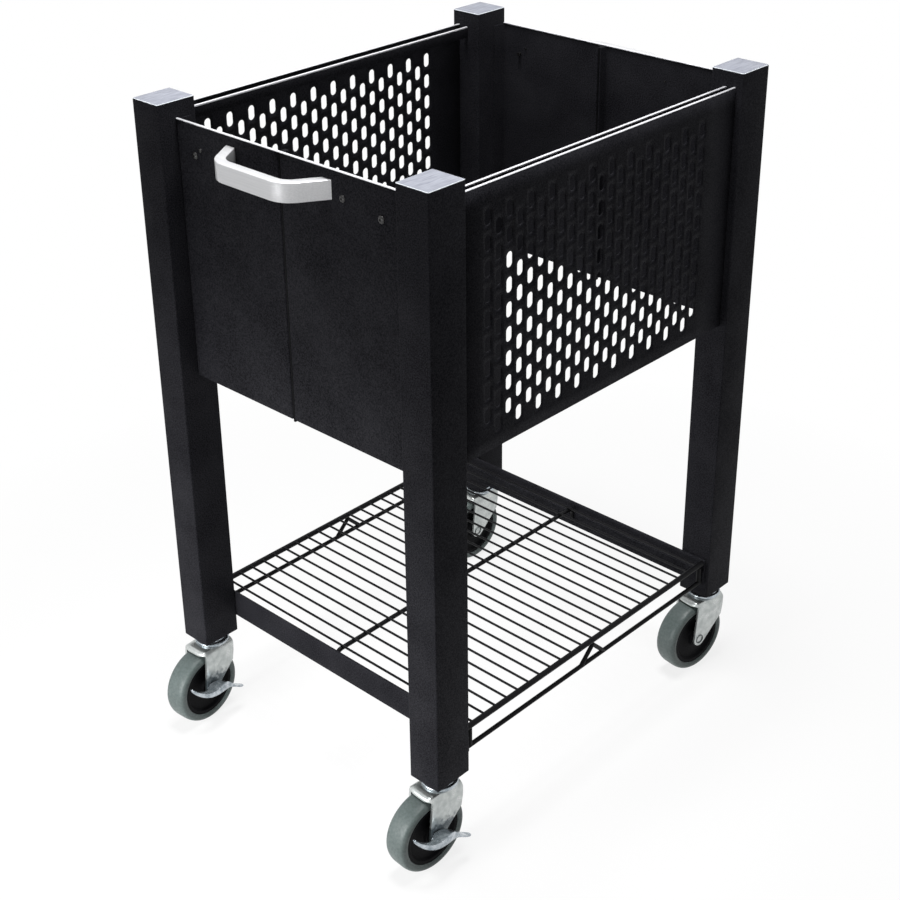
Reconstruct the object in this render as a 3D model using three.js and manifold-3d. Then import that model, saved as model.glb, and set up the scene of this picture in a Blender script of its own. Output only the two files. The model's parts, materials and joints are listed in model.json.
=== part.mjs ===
// Mobile file cart: four square-tube posts on swivel casters carry an open-topped file bin
// with perforated sides and hanging rails, and a wire shelf near the floor.
// Millimetres, +Z up, the front with its pull faces -Y, the origin is on the floor at the
// centre of the cart's box.

import * as THREE from 'three';
import { mergeVertices } from 'three/addons/utils/BufferGeometryUtils.js';
import Module from 'manifold-3d';

const wasm = await Module();
wasm.setup();

// Clearances
const SEAT_GAP = 0.1; // between flat faces that are screwed or welded together
const FIT_GAP = 0.3; // round a plug, pin or stem in its hole, and between moving faces
const ROUND = 16; // sides of a turned piece

// Frame of posts
const FRAME_WIDTH = 349; // over the posts, along X
const FRAME_DEPTH = 440; // over the posts, along Y
const POST_LENGTH = 550;
const POST_WIDTH = 34; // along X
const POST_DEPTH = 40; // along Y
const POST_WALL = 1.6;
const POST_CORNER = 2.5; // outer corner radius
const CAP_PLATE = 2;
const CAP_PLUG = 14; // depth of the cap's plug in the tube
const SOCKET_HEIGHT = 32; // plug in the tube's lower end that takes the caster stem

// Front and back panels of the bin, each in two halves with a strip in the seam
const SHEET = 1.2;
const PANEL_RECESS = 18.5; // from the front posts' outer face to the panel's
const BACK_RECESS = 1; // the same at the back
const PANEL_TOP_DROP = 16; // from the post top to the panel's top edge
const PANEL_HEIGHT = 242.5;
const PANEL_END_FLANGE = 16; // turned in along the post
const PANEL_SEAM_FLANGE = 10; // turned in along the seam
const SEAM_X = -10; // the seam and the pull lie a little left of the middle
const SEAM_STRIP = 2.2; // width of the dark strip in the seam
const SEAM_STRIP_RECESS = 0.6;
const SEAM_STRIP_TAIL = 2.5; // the strip hangs below the panel's bottom edge
const TRIM_WIDTH = 2.6; // bright strip along the panel's top edge
const TRIM_HEIGHT = 1;

// Perforated side panels, the trim on their top edges and the hanging rails inside them
const SIDE_RECESS = 7; // from the post's outer face to the side panel's
const SIDE_TOP_DROP = 14.4;
const SIDE_HEIGHT = 231.1;
const SLOT_LENGTH = 14;
const SLOT_WIDTH = 7.6;
const SLOT_PITCH_Y = 12.7; // between columns; every other column is half a row lower
const SLOT_PITCH_Z = 21.5;
const SLOT_SIDE_MARGIN = 34; // from the panel's end to the slots
const SLOT_SHIFT = -8; // of the slots towards the front
const SLOT_TOP_MARGIN = 19.5;
const SLOT_BOTTOM_MARGIN = 14;
const SIDE_TRIM_WIDTH = 2.3; // bright strip along the side panel's top edge
const SIDE_TRIM_HEIGHT = 0.9;
const RAIL_BAR = 2.4; // flat bar that the folder hooks hang on
const RAIL_HEIGHT = 11;
const RAIL_OFFSET = 9.1; // from the side panel to the bar
const RAIL_DROP = 0.3; // from the side panel's top edge to the bar's

// Pulls on the front and back panels
const PULL_SPAN = 127; // end to end on the panel
const PULL_SHIFT = -2; // of the pull's middle from the seam
const PULL_FRONT = 84; // corner to corner along the grip
const PULL_REACH = 34; // from the panel to the grip's front face
const PULL_BAR = 9.5;
const PULL_HEIGHT = 16.5;
const PULL_BEND = 13; // outer bend radius
const PULL_TOP_DROP = 8.5; // from the panel's top edge to the pull's top

// Screws beside the pulls
const SCREW_HEAD_R = 3.5;
const SCREW_HEAD = 1.6;
const SCREW_SHANK_R = 1.8;
const SCREW_TAIL = 3;
const SCREW_STEP = 48.6; // from the pull's end to the screw
const SCREW_SHIFT = 4.4; // of the screws' middle from the seam
const SCREW_DROP = 27.5;

// Bars across the inner faces of the posts, and the wire shelf between them
const BAR_RISE = 16.5; // from the post's lower end to the bar
const BAR_HEIGHT = 28;
const BAR_SHEET = 2;
const BAR_LEDGE = 2; // the lower part is thicker by this
const BAR_LEDGE_HEIGHT = 16;
const BAR_END_INSET = 3.5; // from the post's outer face to the bar's end
const WIRE_SIDE_R = 2.8;
const WIRE_CROSS_R = 1.5;
const WIRE_MIDDLE_R = 2.3;
const WIRE_TRUSS_R = 2.2;
const WIRE_INSET = 3; // from the bar's end to the side wires
const WIRE_DROP = 0.7; // from the bar's top edge to the side wires' top
const CROSS_PITCH = 15.25;
const CROSS_MARGIN = 8;
const TRUSS_RISE = 2.8; // from the bar's lower edge to the lower wire's axis
const BRACE_HALF = 17; // half the foot spacing of the brace under the side wire
const BRACE_R = 2.1;
const END_ROD_R = 2.4; // upright at each end between the two wires

// Casters
const TYRE_DIAMETER = 76;
const TYRE_WIDTH = 24;
const TYRE_THICKNESS = 8.3;
const TYRE_SHOULDER = 2.6;
const TYRE_FACETS = 32;
const HUB_FACETS = 24;
const HUB_INSET = 1.5; // the hub's rim lies inside the tyre's side
const HUB_RIM = 3;
const HUB_WEB = 10;
const HUB_BOSS_R = 9;
const AXLE_R = 4;
const AXLE_HEAD = 1.4;
const AXLE_HEAD_LIP = 1.8;
const TRAIL = 19; // from the swivel axis to the axle
const FORK_SHEET = 2.4;
const FORK_SIDE_GAP = 1.2;
const FORK_TOP_GAP = 3.6;
const FORK_FRONT = 13.5; // from the swivel axis to the crown's front edge
const FORK_TAIL = 3; // from the axle to the crown's rear edge
const FORK_EYE_R = 7.5;
const RACE_R = 13.2;
const RACE_HEIGHT = 4.2;
const COLLAR_R = 10.5;
const COLLAR_HEIGHT = 4;
const STEM_R = 5.5;
const STEM_LENGTH = 30;
const TURN_FRONT_LEFT = 4; // degrees that each caster stands turned about its stem
const TURN_FRONT_RIGHT = -4;
const TURN_BACK_LEFT = -3;
const TURN_BACK_RIGHT = -8;

// Brake pedals on the front casters: a dished plate over the axle bolt, with a tongue
const BRAKE_SHEET = 2;
const BRAKE_WIDTH = 15;
const BRAKE_EYE_R = 7.5;
const BRAKE_BOLT_GAP = 0.8; // from the bolt's head up to the plate
const BRAKE_WING = 28.5; // from the axle to the rear wing's tip
const BRAKE_WING_RISE = 9; // of the wing's tip over the plate's middle
const BRAKE_WING_WIDTH = 5;
const BRAKE_FRONT = 22; // from the axle to the tongue
const BRAKE_TONGUE = 11.5;
const BRAKE_TONGUE_WIDTH = 8;
const BRAKE_TONGUE_DROP = 16.6; // of the tongue's tip below the plate's middle

// Heights and places that follow from the sizes above
const tyreR = TYRE_DIAMETER / 2;
const axleZ = tyreR * Math.cos(Math.PI / TYRE_FACETS);
const crownZ = axleZ + tyreR + FORK_TOP_GAP;
const raceZ = crownZ + FORK_SHEET + SEAT_GAP;
const postBottom = raceZ + RACE_HEIGHT + COLLAR_HEIGHT + FIT_GAP;
const tubeTop = postBottom + POST_LENGTH;
const postTop = tubeTop + SEAT_GAP + CAP_PLATE;
const postX = (FRAME_WIDTH - POST_WIDTH) / 2;
const postY = (FRAME_DEPTH - POST_DEPTH) / 2;
const innerX = FRAME_WIDTH / 2 - POST_WIDTH; // the posts' faces that the panels meet
const innerY = FRAME_DEPTH / 2 - POST_DEPTH;
const panelTop = postTop - PANEL_TOP_DROP;
const panelBottom = panelTop - PANEL_HEIGHT;
const panelY = FRAME_DEPTH / 2 - PANEL_RECESS;
const sideTop = postTop - SIDE_TOP_DROP;
const sideX = FRAME_WIDTH / 2 - SIDE_RECESS;
const barZ = postBottom + BAR_RISE;
const barEnd = FRAME_WIDTH / 2 - BAR_END_INSET;
const barFace = innerY - SEAT_GAP; // the bar's face on the post
const wireX = barEnd - WIRE_INSET;
const wireZ = barZ + BAR_HEIGHT - WIRE_DROP - WIRE_SIDE_R;
const legIn = TYRE_WIDTH / 2 + FORK_SIDE_GAP;
const legOut = legIn + FORK_SHEET;

// Finishes
const finish = (color, roughness, metalness) =>
  new THREE.MeshStandardMaterial({ color, roughness, metalness });
const blackCoat = () => finish(0x1f1f22, 0.62, 0.1);
const blackWire = () => finish(0x17161a, 0.45, 0.2);
const capGrey = () => finish(0xc4c4d0, 0.5, 0.1);
const brightSteel = () => finish(0xd9dae4, 0.28, 0.9);
const satinAluminium = () => finish(0xcac6c4, 0.35, 0.85);
const zinc = () => finish(0xbcc2be, 0.35, 0.85);
const greyTyre = () => finish(0x748079, 0.75, 0);
const blackPlastic = () => finish(0x121214, 0.5, 0);

// Closed solids for cutting and joining
function solid(geometry) {
  const bare = geometry.clone();
  bare.deleteAttribute('normal');
  bare.deleteAttribute('uv');
  const merged = mergeVertices(bare, 1e-4);
  const position = merged.getAttribute('position').array;
  return new wasm.Manifold(new wasm.Mesh({
    numProp: 3,
    vertProperties: new Float32Array(position),
    triVerts: new Uint32Array(merged.getIndex().array),
  }));
}

function geometryOf(body) {
  const mesh = body.getMesh();
  const geometry = new THREE.BufferGeometry();
  geometry.setAttribute('position', new THREE.BufferAttribute(mesh.vertProperties, 3));
  geometry.setIndex(new THREE.BufferAttribute(mesh.triVerts, 1));
  geometry.computeVertexNormals();
  return geometry;
}

const join = (...parts) => parts.map(solid).reduce((sum, part) => sum.add(part));

const cut = (body, ...tools) => tools.map(solid).reduce((rest, tool) => rest.subtract(tool), body);

// Outlines: corners are [u, v] or, with a rounded corner, [u, v, radius]
function outline(corners) {
  const shape = new THREE.Shape();
  corners.forEach(([u, v, radius = 0], i) => {
    const here = new THREE.Vector2(u, v);
    const near = (other) => {
      const step = new THREE.Vector2(other[0], other[1]).sub(here).normalize();
      return step.multiplyScalar(radius).add(here);
    };
    const before = near(corners[(i + corners.length - 1) % corners.length]);
    const after = near(corners[(i + 1) % corners.length]);
    if (i === 0) {
      shape.moveTo(before.x, before.y);
    } else {
      shape.lineTo(before.x, before.y);
    }
    if (radius > 0) {
      shape.quadraticCurveTo(u, v, after.x, after.y);
    }
  });
  shape.closePath();
  return shape;
}

const rectangle = (width, depth, radius = 0) => outline([
  [-width / 2, -depth / 2, radius],
  [width / 2, -depth / 2, radius],
  [width / 2, depth / 2, radius],
  [-width / 2, depth / 2, radius],
]);

function circle(radius, sides, u = 0, v = 0) {
  const path = new THREE.Path();
  for (let i = 0; i < sides; i += 1) {
    const angle = (i * 2 * Math.PI) / sides;
    const at = [u + radius * Math.cos(angle), v + radius * Math.sin(angle)];
    if (i === 0) {
      path.moveTo(...at);
    } else {
      path.lineTo(...at);
    }
  }
  path.closePath();
  return path;
}

// Straight runs of an outline
const extrude = (shape, depth) =>
  new THREE.ExtrudeGeometry(shape, { depth, bevelEnabled: false, curveSegments: 3 });

const alongZ = (shape, from, to) => extrude(shape, to - from).translate(0, 0, from);

// The outline's u runs along Y and its v along Z
const alongX = (shape, from, to) => extrude(shape, to - from)
  .applyMatrix4(new THREE.Matrix4().makeBasis(
    new THREE.Vector3(0, 1, 0),
    new THREE.Vector3(0, 0, 1),
    new THREE.Vector3(1, 0, 0),
  ))
  .translate(from, 0, 0);

// The outline's u runs along X and its v along Z
const alongY = (shape, from, to) => extrude(shape, to - from)
  .applyMatrix4(new THREE.Matrix4().makeBasis(
    new THREE.Vector3(1, 0, 0),
    new THREE.Vector3(0, 0, 1),
    new THREE.Vector3(0, -1, 0),
  ))
  .translate(0, to, 0);

function rod(radius, from, to, sides) {
  const start = new THREE.Vector3(...from);
  const run = new THREE.Vector3(...to).sub(start);
  const turn = new THREE.Quaternion()
    .setFromUnitVectors(new THREE.Vector3(0, 1, 0), run.clone().normalize());
  const middle = start.addScaledVector(run, 0.5);
  return new THREE.CylinderGeometry(radius, radius, run.length(), sides)
    .rotateY(Math.PI / sides)
    .applyQuaternion(turn)
    .translate(middle.x, middle.y, middle.z);
}

// Turned profiles of [radius, height] pairs, upward on the outside
const turned = (profile, sides) => new THREE.LatheGeometry(
  profile.map(([radius, height]) => new THREE.Vector2(radius, height)),
  sides,
);
const turnedZ = (profile, sides) => turned(profile, sides).rotateX(Math.PI / 2);
const turnedX = (profile, sides) => turned(profile, sides)
  .rotateY(Math.PI / sides)
  .rotateZ(-Math.PI / 2);

const cart = new THREE.Group();

function add(parent, name, geometry, material) {
  const mesh = new THREE.Mesh(geometry, material);
  mesh.name = name;
  parent.add(mesh);
  return mesh;
}

// Posts, caps and caster sockets
const tubeWidth = POST_WIDTH - 2 * POST_WALL;
const tubeDepth = POST_DEPTH - 2 * POST_WALL;
const plugWidth = tubeWidth - 2 * FIT_GAP;
const plugDepth = tubeDepth - 2 * FIT_GAP;
const plugCorner = Math.max(POST_CORNER - POST_WALL, 0.4);

function tubeSection() {
  const shape = rectangle(POST_WIDTH, POST_DEPTH, POST_CORNER);
  shape.holes.push(rectangle(tubeWidth, tubeDepth, plugCorner));
  return shape;
}

function capGeometry() {
  const plate = alongZ(rectangle(POST_WIDTH, POST_DEPTH, POST_CORNER), postTop - CAP_PLATE, postTop);
  const plugEnd = tubeTop - CAP_PLUG;
  const plug = alongZ(rectangle(plugWidth, plugDepth, plugCorner), plugEnd, postTop - CAP_PLATE / 2);
  return geometryOf(join(plate, plug));
}

function socketGeometry() {
  const shape = rectangle(plugWidth, plugDepth, plugCorner);
  shape.holes.push(circle((STEM_R + FIT_GAP) / Math.cos(Math.PI / ROUND), ROUND));
  return alongZ(shape, postBottom, postBottom + SOCKET_HEIGHT);
}

// Casters: the swivel axis is the group's Z axis and the wheel trails towards -Y
const hubR = tyreR - TYRE_THICKNESS;

function tyreGeometry() {
  const side = TYRE_WIDTH / 2;
  const bore = (hubR + FIT_GAP) / Math.cos(Math.PI / TYRE_FACETS);
  const edge = side - HUB_INSET;
  return turnedX([
    [bore, -edge],
    [bore + HUB_INSET, -side],
    [tyreR - TYRE_SHOULDER, -side],
    [tyreR, -side + TYRE_SHOULDER],
    [tyreR, side - TYRE_SHOULDER],
    [tyreR - TYRE_SHOULDER, side],
    [bore + HUB_INSET, side],
    [bore, edge],
    [bore, -edge],
  ], TYRE_FACETS);
}

const axleHole = (AXLE_R + FIT_GAP) / Math.cos(Math.PI / ROUND);

function hubGeometry() {
  const rim = TYRE_WIDTH / 2 - HUB_INSET;
  const web = HUB_WEB / 2;
  const boss = TYRE_WIDTH / 2;
  return turnedX([
    [axleHole, -boss],
    [HUB_BOSS_R, -boss],
    [HUB_BOSS_R + 1, -web],
    [hubR - HUB_RIM - 1, -web],
    [hubR - HUB_RIM, -rim],
    [hubR, -rim],
    [hubR, rim],
    [hubR - HUB_RIM, rim],
    [hubR - HUB_RIM - 1, web],
    [HUB_BOSS_R + 1, web],
    [HUB_BOSS_R, boss],
    [axleHole, boss],
    [axleHole, -boss],
  ], HUB_FACETS);
}

function forkGeometry() {
  const rear = -TRAIL - FORK_TAIL;
  const crown = alongZ(
    outline([[-legOut, rear, 2], [legOut, rear, 2], [legOut, FORK_FRONT, 5], [-legOut, FORK_FRONT, 5]]),
    crownZ,
    crownZ + FORK_SHEET,
  );
  const slope = (crownZ - axleZ) / 2;
  const eye = FORK_EYE_R;
  const leg = outline([
    [rear, crownZ + FORK_SHEET],
    [-TRAIL - eye, axleZ, eye * 0.4],
    [-TRAIL - eye * 0.6, axleZ - eye * 0.95, eye * 0.45],
    [-TRAIL + eye * 0.65, axleZ - eye * 0.85, eye * 0.45],
    [FORK_FRONT * 0.86, crownZ - slope],
    [FORK_FRONT * 0.97, crownZ - slope * 0.6],
    [FORK_FRONT, crownZ + FORK_SHEET],
  ]);
  const legs = [alongX(leg, -legOut, -legIn), alongX(leg, legIn, legOut)];
  const hole = rod(axleHole, [-legOut - 5, -TRAIL, axleZ], [legOut + 5, -TRAIL, axleZ], ROUND);
  return geometryOf(cut(join(crown, ...legs), hole));
}

function stemGeometry() {
  const collarZ = raceZ + RACE_HEIGHT;
  const stemZ = collarZ + COLLAR_HEIGHT;
  return turnedZ([
    [0, raceZ],
    [RACE_R, raceZ],
    [RACE_R, raceZ + RACE_HEIGHT * 0.4],
    [COLLAR_R, collarZ],
    [COLLAR_R, stemZ],
    [STEM_R, stemZ],
    [STEM_R, stemZ + STEM_LENGTH],
    [0, stemZ + STEM_LENGTH],
  ], ROUND);
}

// The bolt's head is on the +X side, outside the brake's eye where there is one
function axleGeometry(braked) {
  const head = legOut + FIT_GAP + (braked ? BRAKE_SHEET + FIT_GAP : 0);
  const nut = -legOut - FIT_GAP;
  const wide = AXLE_R + AXLE_HEAD_LIP;
  return turnedX([
    [0, nut - AXLE_HEAD],
    [wide, nut - AXLE_HEAD],
    [wide, nut],
    [AXLE_R, nut],
    [AXLE_R, head],
    [wide, head],
    [wide, head + AXLE_HEAD],
    [0, head + AXLE_HEAD],
  ], ROUND);
}

function brakeGeometry() {
  const from = legOut + FIT_GAP;
  const low = AXLE_R + AXLE_HEAD_LIP + BRAKE_BOLT_GAP;
  const rear = -BRAKE_WING;
  const front = BRAKE_FRONT + BRAKE_TONGUE;
  const under = [
    [rear, low + BRAKE_WING_RISE],
    [rear * 0.65, low + BRAKE_WING_RISE * 0.4],
    [rear * 0.28, low],
    [BRAKE_FRONT * 0.3, low],
    [BRAKE_FRONT, low - BRAKE_TONGUE_DROP * 0.4],
    [front, low - BRAKE_TONGUE_DROP],
  ];
  const over = under.map(([u, v]) => [u, v + BRAKE_SHEET]).reverse();
  const plate = alongX(outline([...under, ...over]), from, from + BRAKE_WIDTH);
  const side = (BRAKE_WIDTH - BRAKE_TONGUE_WIDTH) / 2;
  const plan = outline([
    [from, rear],
    [from + BRAKE_WING_WIDTH, rear],
    [from + BRAKE_WIDTH, rear * 0.4, 5],
    [from + BRAKE_WIDTH, BRAKE_FRONT * 0.45, 5],
    [from + BRAKE_WIDTH - side, BRAKE_FRONT],
    [from + BRAKE_WIDTH - side, front, 3],
    [from + side, front, 3],
    [from + side, BRAKE_FRONT],
    [from, BRAKE_FRONT * 0.45],
  ]);
  const reach = BRAKE_WING + BRAKE_TONGUE + BRAKE_TONGUE_DROP;
  const pedal = solid(plate).intersect(solid(alongZ(plan, -reach, reach)));
  const eye = BRAKE_EYE_R;
  const ear = alongX(
    outline([
      [-eye * 0.9, low + BRAKE_SHEET * 0.5],
      [-eye, -eye * 0.4, eye * 0.3],
      [-eye * 0.4, -eye, eye * 0.3],
      [eye * 0.4, -eye, eye * 0.3],
      [eye, -eye * 0.4, eye * 0.3],
      [eye * 0.7, low + BRAKE_SHEET * 0.5],
    ]),
    from,
    from + BRAKE_SHEET,
  );
  const hole = rod(axleHole, [from - 5, 0, 0], [from + BRAKE_WIDTH, 0, 0], ROUND);
  return geometryOf(cut(solid(ear), hole).add(pedal));
}

function addCaster(place, x, y, turn, braked) {
  const caster = new THREE.Group();
  caster.position.set(x, y, 0);
  caster.rotation.z = THREE.MathUtils.degToRad(turn);
  cart.add(caster);
  add(caster, `caster_stem_${place}`, stemGeometry(), zinc());
  add(caster, `caster_fork_${place}`, forkGeometry(), zinc());
  const axle = new THREE.Group();
  axle.position.set(0, -TRAIL, axleZ);
  caster.add(axle);
  add(axle, `caster_axle_${place}`, axleGeometry(braked), zinc());
  add(axle, `wheel_hub_${place}`, hubGeometry(), blackPlastic());
  add(axle, `wheel_tyre_${place}`, tyreGeometry(), greyTyre());
  if (braked) {
    add(axle, `brake_pedal_${place}`, brakeGeometry(), zinc());
  }
}

const corners = [
  ['front_left', -1, -1, TURN_FRONT_LEFT],
  ['front_right', 1, -1, TURN_FRONT_RIGHT],
  ['back_left', -1, 1, TURN_BACK_LEFT],
  ['back_right', 1, 1, TURN_BACK_RIGHT],
];

for (const [place, sideways, lengthways, turn] of corners) {
  const x = sideways * postX;
  const y = lengthways * postY;
  const post = new THREE.Group();
  post.position.set(x, y, 0);
  cart.add(post);
  add(post, `post_${place}`, alongZ(tubeSection(), postBottom, tubeTop), blackCoat());
  add(post, `post_cap_${place}`, capGeometry(), capGrey());
  add(post, `caster_socket_${place}`, socketGeometry(), blackPlastic());
  addCaster(place, x, y, turn, lengthways < 0);
}

// One end panel, drawn as the front one: two flanged halves, strip, trim, pull and screws.
// The back one is turned about, so its seam changes sides.
const screwStep = PULL_SPAN / 2 + SCREW_STEP;
const outerY = -panelY;
const seamHalf = SEAM_STRIP / 2 + SEAT_GAP;
const panelEnd = innerX - SEAT_GAP;

function halfPanel(side, middle, screwX) {
  const seam = middle + side * seamHalf;
  const end = side * panelEnd;
  const inside = outerY + SHEET;
  const plan = [
    [seam, outerY],
    [seam, outerY + PANEL_SEAM_FLANGE],
    [seam + side * SHEET, outerY + PANEL_SEAM_FLANGE],
    [seam + side * SHEET, inside],
    [end - side * SHEET, inside],
    [end - side * SHEET, outerY + PANEL_END_FLANGE],
    [end, outerY + PANEL_END_FLANGE],
    [end, outerY],
  ];
  const sheet = alongZ(outline(plan), panelBottom, panelTop);
  const z = panelTop - SCREW_DROP;
  const hole = rod(SCREW_SHANK_R + FIT_GAP, [screwX, outerY - 5, z], [screwX, outerY + 5, z], 8);
  return geometryOf(cut(solid(sheet), hole));
}

function pullGeometry(middle) {
  const slant = (PULL_SPAN - PULL_FRONT) / 2;
  const legLength = Math.hypot(slant, PULL_REACH);
  const foot = (PULL_BAR * legLength) / PULL_REACH;
  const innerFront = PULL_SPAN / 2 - foot - (slant * (PULL_REACH - PULL_BAR)) / PULL_REACH;
  const bend = PULL_BEND * 0.8;
  const plan = outline([
    [-PULL_SPAN / 2, 0],
    [-PULL_FRONT / 2, -PULL_REACH, bend],
    [PULL_FRONT / 2, -PULL_REACH, bend],
    [PULL_SPAN / 2, 0],
    [PULL_SPAN / 2 - foot, 0],
    [innerFront, -PULL_REACH + PULL_BAR, bend * 0.5],
    [-innerFront, -PULL_REACH + PULL_BAR, bend * 0.5],
    [-PULL_SPAN / 2 + foot, 0],
  ]);
  const top = panelTop - PULL_TOP_DROP;
  return alongZ(plan, top - PULL_HEIGHT, top).translate(middle, outerY - SEAT_GAP, 0);
}

// A domed head on the outside and a shank through the sheet
const screwGeometry = () => turned([
  [0, -SCREW_HEAD],
  [SCREW_HEAD_R * 0.6, -SCREW_HEAD],
  [SCREW_HEAD_R, -SCREW_HEAD * 0.4],
  [SCREW_HEAD_R, -SEAT_GAP],
  [SCREW_SHANK_R, -SEAT_GAP],
  [SCREW_SHANK_R, SHEET + SCREW_TAIL],
  [0, SHEET + SCREW_TAIL],
], 8);

function addEnd(end, recess, way) {
  const panel = new THREE.Group();
  panel.rotation.z = way > 0 ? 0 : Math.PI;
  panel.position.y = way * (recess - PANEL_RECESS);
  cart.add(panel);
  const seam = way * SEAM_X;
  for (const [name, side] of [['left', -way], ['right', way]]) {
    const screwX = seam + way * SCREW_SHIFT + side * screwStep;
    add(panel, `${end}_panel_${name}`, halfPanel(side, seam, screwX), blackCoat());
    add(panel, `${end}_screw_${name}`, screwGeometry(), blackPlastic())
      .position.set(screwX, outerY, panelTop - SCREW_DROP);
  }
  const strip = rectangle(SEAM_STRIP, PANEL_SEAM_FLANGE - SEAM_STRIP_RECESS);
  const stripY = outerY + (PANEL_SEAM_FLANGE + SEAM_STRIP_RECESS) / 2;
  add(
    panel,
    `${end}_seam_strip`,
    alongZ(strip, panelBottom - SEAM_STRIP_TAIL, panelTop).translate(seam, stripY, 0),
    blackPlastic(),
  );
  const trimZ = panelTop + SEAT_GAP;
  const trim = rectangle(2 * (innerX - FIT_GAP), TRIM_WIDTH);
  add(
    panel,
    `${end}_panel_trim`,
    alongZ(trim, trimZ, trimZ + TRIM_HEIGHT).translate(0, outerY + SHEET / 2, 0),
    brightSteel(),
  );
  add(panel, `${end}_pull`, pullGeometry(seam + way * PULL_SHIFT), satinAluminium());
}

addEnd('front', PANEL_RECESS, 1);
addEnd('back', BACK_RECESS, -1);

// Perforated sides: a flat sheet with staggered slots, welded to the posts along its ends
const sideHalf = innerY - SEAT_GAP;
const slotColumns = 1 + Math.floor(
  (2 * sideHalf - 2 * SLOT_SIDE_MARGIN - SLOT_WIDTH) / SLOT_PITCH_Y,
);
const slotRows = 1 + Math.floor(
  (SIDE_HEIGHT - SLOT_TOP_MARGIN - SLOT_BOTTOM_MARGIN - SLOT_LENGTH - SLOT_PITCH_Z / 2) / SLOT_PITCH_Z,
);

function sidePanel(side) {
  const middle = side * (sideX - SHEET / 2);
  const sheet = new THREE.BoxGeometry(SHEET, 2 * sideHalf, SIDE_HEIGHT)
    .translate(middle, 0, sideTop - SIDE_HEIGHT / 2);
  const slots = [];
  for (let column = 0; column < slotColumns; column += 1) {
    const y = SLOT_SHIFT + (column - (slotColumns - 1) / 2) * SLOT_PITCH_Y;
    const stagger = (column % 2) * (SLOT_PITCH_Z / 2);
    for (let row = 0; row < slotRows; row += 1) {
      const z = sideTop - SLOT_TOP_MARGIN - SLOT_LENGTH / 2 - stagger - row * SLOT_PITCH_Z;
      slots.push(new THREE.BoxGeometry(3 * SHEET, SLOT_WIDTH, SLOT_LENGTH).translate(middle, y, z));
    }
  }
  return geometryOf(cut(solid(sheet), ...slots));
}

// A flat bar welded between two posts
function fileRail(side) {
  const x = side * (sideX - SHEET - RAIL_OFFSET - RAIL_BAR / 2);
  const z = sideTop - RAIL_DROP - RAIL_HEIGHT / 2;
  return new THREE.BoxGeometry(RAIL_BAR, 2 * sideHalf, RAIL_HEIGHT).translate(x, 0, z);
}

function sideTrim(side) {
  const x = side * (sideX - SIDE_TRIM_WIDTH / 2);
  const z = sideTop + SEAT_GAP + SIDE_TRIM_HEIGHT / 2;
  const length = 2 * (innerY - FIT_GAP);
  return new THREE.BoxGeometry(SIDE_TRIM_WIDTH, length, SIDE_TRIM_HEIGHT).translate(x, 0, z);
}

for (const [name, side] of [['left', -1], ['right', 1]]) {
  add(cart, `side_panel_${name}`, sidePanel(side), blackCoat());
  add(cart, `side_trim_${name}`, sideTrim(side), brightSteel());
  add(cart, `file_rail_${name}`, fileRail(side), brightSteel());
}

// Shelf bars on the inner faces of the posts
function shelfBar(end) {
  const face = end * barFace;
  const section = [
    [face, barZ],
    [face, barZ + BAR_HEIGHT],
    [face - end * BAR_SHEET, barZ + BAR_HEIGHT],
    [face - end * BAR_SHEET, barZ + BAR_LEDGE_HEIGHT],
    [face - end * (BAR_SHEET + BAR_LEDGE), barZ + BAR_LEDGE_HEIGHT],
    [face - end * (BAR_SHEET + BAR_LEDGE), barZ],
  ];
  return alongX(outline(section), -barEnd, barEnd);
}

add(cart, 'shelf_bar_front', shelfBar(-1), blackCoat());
add(cart, 'shelf_bar_back', shelfBar(1), blackCoat());

// Wire shelf: side wires and a middle wire under a row of cross wires, all welded
const gridEnd = barFace - BAR_SHEET - SEAT_GAP;
const crossZ = wireZ + WIRE_SIDE_R - WIRE_CROSS_R - 0.1;
const middleZ = crossZ - WIRE_CROSS_R * 0.5 - WIRE_MIDDLE_R * 0.7;

function shelfGrid() {
  const wires = [-wireX, wireX].map((x) => rod(WIRE_SIDE_R, [x, -gridEnd, wireZ], [x, gridEnd, wireZ], 8));
  wires.push(rod(WIRE_MIDDLE_R, [0, -gridEnd, middleZ], [0, gridEnd, middleZ], 6));
  const count = 1 + Math.floor((2 * (gridEnd - CROSS_MARGIN)) / CROSS_PITCH);
  for (let i = 0; i < count; i += 1) {
    const y = (i - (count - 1) / 2) * CROSS_PITCH;
    wires.push(rod(WIRE_CROSS_R, [-wireX, y, crossZ], [wireX, y, crossZ], 6));
  }
  return geometryOf(join(...wires));
}

// Lower wire on each side with a brace that holds up the side wire
function shelfTruss(side) {
  const x = side * wireX;
  const end = barFace - BAR_SHEET - BAR_LEDGE - SEAT_GAP;
  const lowZ = barZ + TRUSS_RISE;
  const apexZ = wireZ - WIRE_SIDE_R - BRACE_R - FIT_GAP;
  const low = rod(WIRE_TRUSS_R, [x, -end, lowZ], [x, end, lowZ], 8);
  const feet = [-BRACE_HALF, BRACE_HALF].map((y) => rod(BRACE_R, [x, y, lowZ], [x, 0, apexZ], 6));
  const apex = new THREE.SphereGeometry(BRACE_R, 8, 6).translate(x, 0, apexZ);
  const rodZ = wireZ - WIRE_SIDE_R - FIT_GAP;
  const rodY = end - END_ROD_R - 1;
  const ends = [-rodY, rodY].map((y) => rod(END_ROD_R, [x, y, lowZ], [x, y, rodZ], 8));
  return geometryOf(join(low, ...feet, apex, ...ends));
}

add(cart, 'shelf_grid', shelfGrid(), blackWire());
add(cart, 'shelf_truss_left', shelfTruss(-1), blackWire());
add(cart, 'shelf_truss_right', shelfTruss(1), blackWire());

// The origin goes to the floor under the middle of the cart's box
const box = new THREE.Box3().setFromObject(cart);
cart.position.set(-(box.min.x + box.max.x) / 2, -(box.min.y + box.max.y) / 2, -box.min.z);

const model = new THREE.Group();
model.add(cart);

export default model;
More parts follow.
